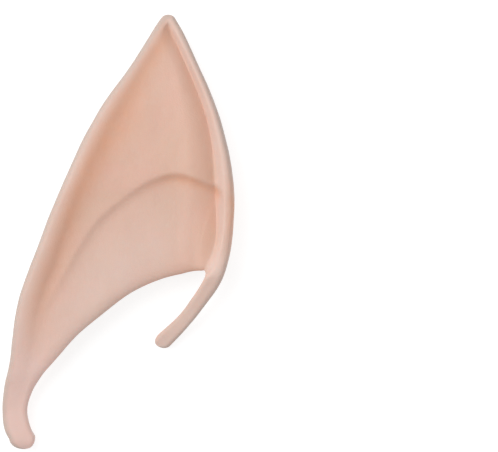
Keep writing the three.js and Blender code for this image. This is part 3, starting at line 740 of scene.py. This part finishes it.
# Matte skin-toned latex, with colours for painted shade and a painted highlight. Colours are linear.
latex = {
    "face": (0.652, 0.424, 0.326, 1),
    # painted shade: darker, more orange, in the grooves, along the fold and at the rims' shaded edges
    "warmShade": (0.72, 0.39, 0.262, 1),
    # paler tone of the tail, strap, mouth and back, and painted highlight on the rims
    "paleAndHighlight": (0.655, 0.478, 0.41, 1),
    # painted shade: greyer and darker, along the outline, on the strap and in the front valley
    "outline": (0.41, 0.335, 0.29, 1),
    "tail": (0.715, 0.5, 0.44, 1),
    "raw": (0.7, 0.52, 0.42, 1),
    "blush": (0.69, 0.41, 0.33, 1),
    "blushScale": 95,  # clouds of colour, about a centimetre across
    "mottleScale": 420,
    "poreScale": 2600,
    "poreDepth": 0.00003,
    "roughest": 0.68,
    "smoothest": 0.52,
    "subsurface": 0.15,
    "subsurfaceRadius": (1.0, 0.45, 0.3),
    "subsurfaceScale": 0.0015,
}


def latexMaterial():
    material = bpy.data.materials.new("latex")
    material.use_nodes = True
    nodes, links = material.node_tree.nodes, material.node_tree.links
    shader = nodes["Principled BSDF"]
    place = nodes.new("ShaderNodeTexCoord").outputs["Object"]

    def share(name):
        node = nodes.new("ShaderNodeAttribute")
        node.attribute_name = name
        return node.outputs["Fac"]

    def clouds(scale, low, high, detail=3):
        texture = nodes.new("ShaderNodeTexNoise")
        texture.inputs["Scale"].default_value = scale
        texture.inputs["Detail"].default_value = detail
        links.new(place, texture.inputs["Vector"])
        spread = nodes.new("ShaderNodeMapRange")
        spread.inputs["From Min"].default_value = 0.3
        spread.inputs["From Max"].default_value = 0.7
        spread.inputs["To Min"].default_value = low
        spread.inputs["To Max"].default_value = high
        links.new(texture.outputs["Fac"], spread.inputs["Value"])
        return spread.outputs["Result"]

    def maths(operation, first, second):
        node = nodes.new("ShaderNodeMath")
        node.operation = operation
        for socket, value in zip(node.inputs, (first, second)):
            if isinstance(value, float):
                socket.default_value = value
            else:
                links.new(value, socket)
        return node.outputs["Value"]

    def tinted(colour, other, amount):
        mix = nodes.new("ShaderNodeMix")
        mix.data_type = "RGBA"
        links.new(amount, mix.inputs["Factor"])
        if isinstance(colour, tuple):
            mix.inputs["A"].default_value = colour
        else:
            links.new(colour, mix.inputs["A"])
        mix.inputs["B"].default_value = other
        return mix.outputs["Result"]

    # the tints, the painted shade and the painted highlight fade into each other unevenly
    patchy = clouds(latex["mottleScale"], 0.8, 1.15)
    colour = tinted(latex["face"], latex["blush"], clouds(latex["blushScale"], 0.0, 0.55))
    paleAndHighlightShare = maths("MULTIPLY", share("paleAndHighlight"), clouds(latex["blushScale"] * 1.7, 0.75, 1.0))
    # paler tones, and painted highlight on the rims
    colour = tinted(colour, latex["paleAndHighlight"], paleAndHighlightShare)
    colour = tinted(colour, latex["tail"], share("tail"))
    # patchy painted shade in the grooves, along the fold and at the rims' shaded edges
    colour = tinted(colour, latex["warmShade"], maths("MULTIPLY", share("warmShade"), patchy))
    # painted shade along the outline, on the strap and in the front valley
    colour = tinted(colour, latex["outline"], share("outline"))
    colour = tinted(colour, latex["raw"], share("raw"))
    links.new(colour, shader.inputs["Base Color"])

    pores = clouds(latex["poreScale"], 0.0, 1.0, 2)
    dents = clouds(latex["mottleScale"] * 1.6, 0.0, 1.0)
    bump = nodes.new("ShaderNodeBump")
    bump.inputs["Strength"].default_value = 0.6
    bump.inputs["Distance"].default_value = latex["poreDepth"]
    links.new(maths("ADD", pores, maths("MULTIPLY", dents, 1.5)), bump.inputs["Height"])
    links.new(bump.outputs["Normal"], shader.inputs["Normal"])
    sheen = clouds(latex["mottleScale"], latex["smoothest"], latex["roughest"])
    links.new(maths("ADD", sheen, maths("MULTIPLY", share("raw"), 0.15)), shader.inputs["Roughness"])

    shader.inputs["Subsurface Weight"].default_value = latex["subsurface"]
    shader.inputs["Subsurface Radius"].default_value = latex["subsurfaceRadius"]
    shader.inputs["Subsurface Scale"].default_value = latex["subsurfaceScale"]
    return material


ear.data.materials.append(latexMaterial())
print("latex mixed")

# Pale table under the ear
table = {"size": 3.0, "drop": 0.0002, "colour": (0.32, 0.32, 0.32, 1), "roughness": 0.8, "glow": 0.78}
bpy.ops.mesh.primitive_plane_add(size=table["size"], location=(0, 0, -table["drop"]))
tableTop = bpy.context.object
tableTop.name = "tableTop"
paint = bpy.data.materials.new("tablePaint")
paint.use_nodes = True
paintShader = paint.node_tree.nodes["Principled BSDF"]
paintShader.inputs["Base Color"].default_value = table["colour"]
paintShader.inputs["Roughness"].default_value = table["roughness"]
paintShader.inputs["Emission Color"].default_value = (1, 1, 1, 1)
paintShader.inputs["Emission Strength"].default_value = table["glow"]
tableTop.data.materials.append(paint)

# Soft key light from the upper left, as the ear is seen, over an even room
light = {"zenith": 40, "fromTipSide": 37, "distance": 1.2, "size": 1.2, "power": 13, "sky": 0.55}
softbox = bpy.data.lights.new("softbox", "AREA")
softbox.size = light["size"]
softbox.energy = light["power"]
lamp = bpy.data.objects.new("softbox", softbox)
zenith, side = math.radians(light["zenith"]), math.radians(light["fromTipSide"])
lamp.location = Vector((
    -math.sin(zenith) * math.cos(side), math.sin(zenith) * math.sin(side), math.cos(zenith),
)) * light["distance"]
lamp.rotation_euler = lamp.location.to_track_quat("Z", "Y").to_euler()
bpy.context.scene.collection.objects.link(lamp)
world = bpy.data.worlds.new("room")
world.use_nodes = True
world.node_tree.nodes["Background"].inputs["Color"].default_value = (1, 1, 1, 1)
world.node_tree.nodes["Background"].inputs["Strength"].default_value = light["sky"]
bpy.context.scene.world = world
bpy.context.scene.view_settings.view_transform = "Standard"

# Camera straight above the middle of the photograph's frame
photo = {
    "frame": (498, 452),
    "earBox": (2.4, 14.4, 233.8, 449.5),  # left, top, right and bottom of the ear, in pixels
    "distance": 1.5,
    "focusHeight": 0.009,
}
left, top, right, bottom = photo["earBox"]
pixel = (cadHigh.y - cadLow.y) / (bottom - top)
camera = bpy.data.cameras.new("camera")
camera.sensor_width = 36
camera.lens = camera.sensor_width * (photo["distance"] - photo["focusHeight"]) / (photo["frame"][0] * pixel)
camera.clip_end = 10
eye = bpy.data.objects.new("camera", camera)
eye.location = (
    (photo["frame"][0] - left - right) / 2 * pixel,
    (top + bottom - photo["frame"][1]) / 2 * pixel,
    photo["distance"],
)
bpy.context.scene.collection.objects.link(eye)
bpy.context.scene.camera = eye
print("camera and light set")
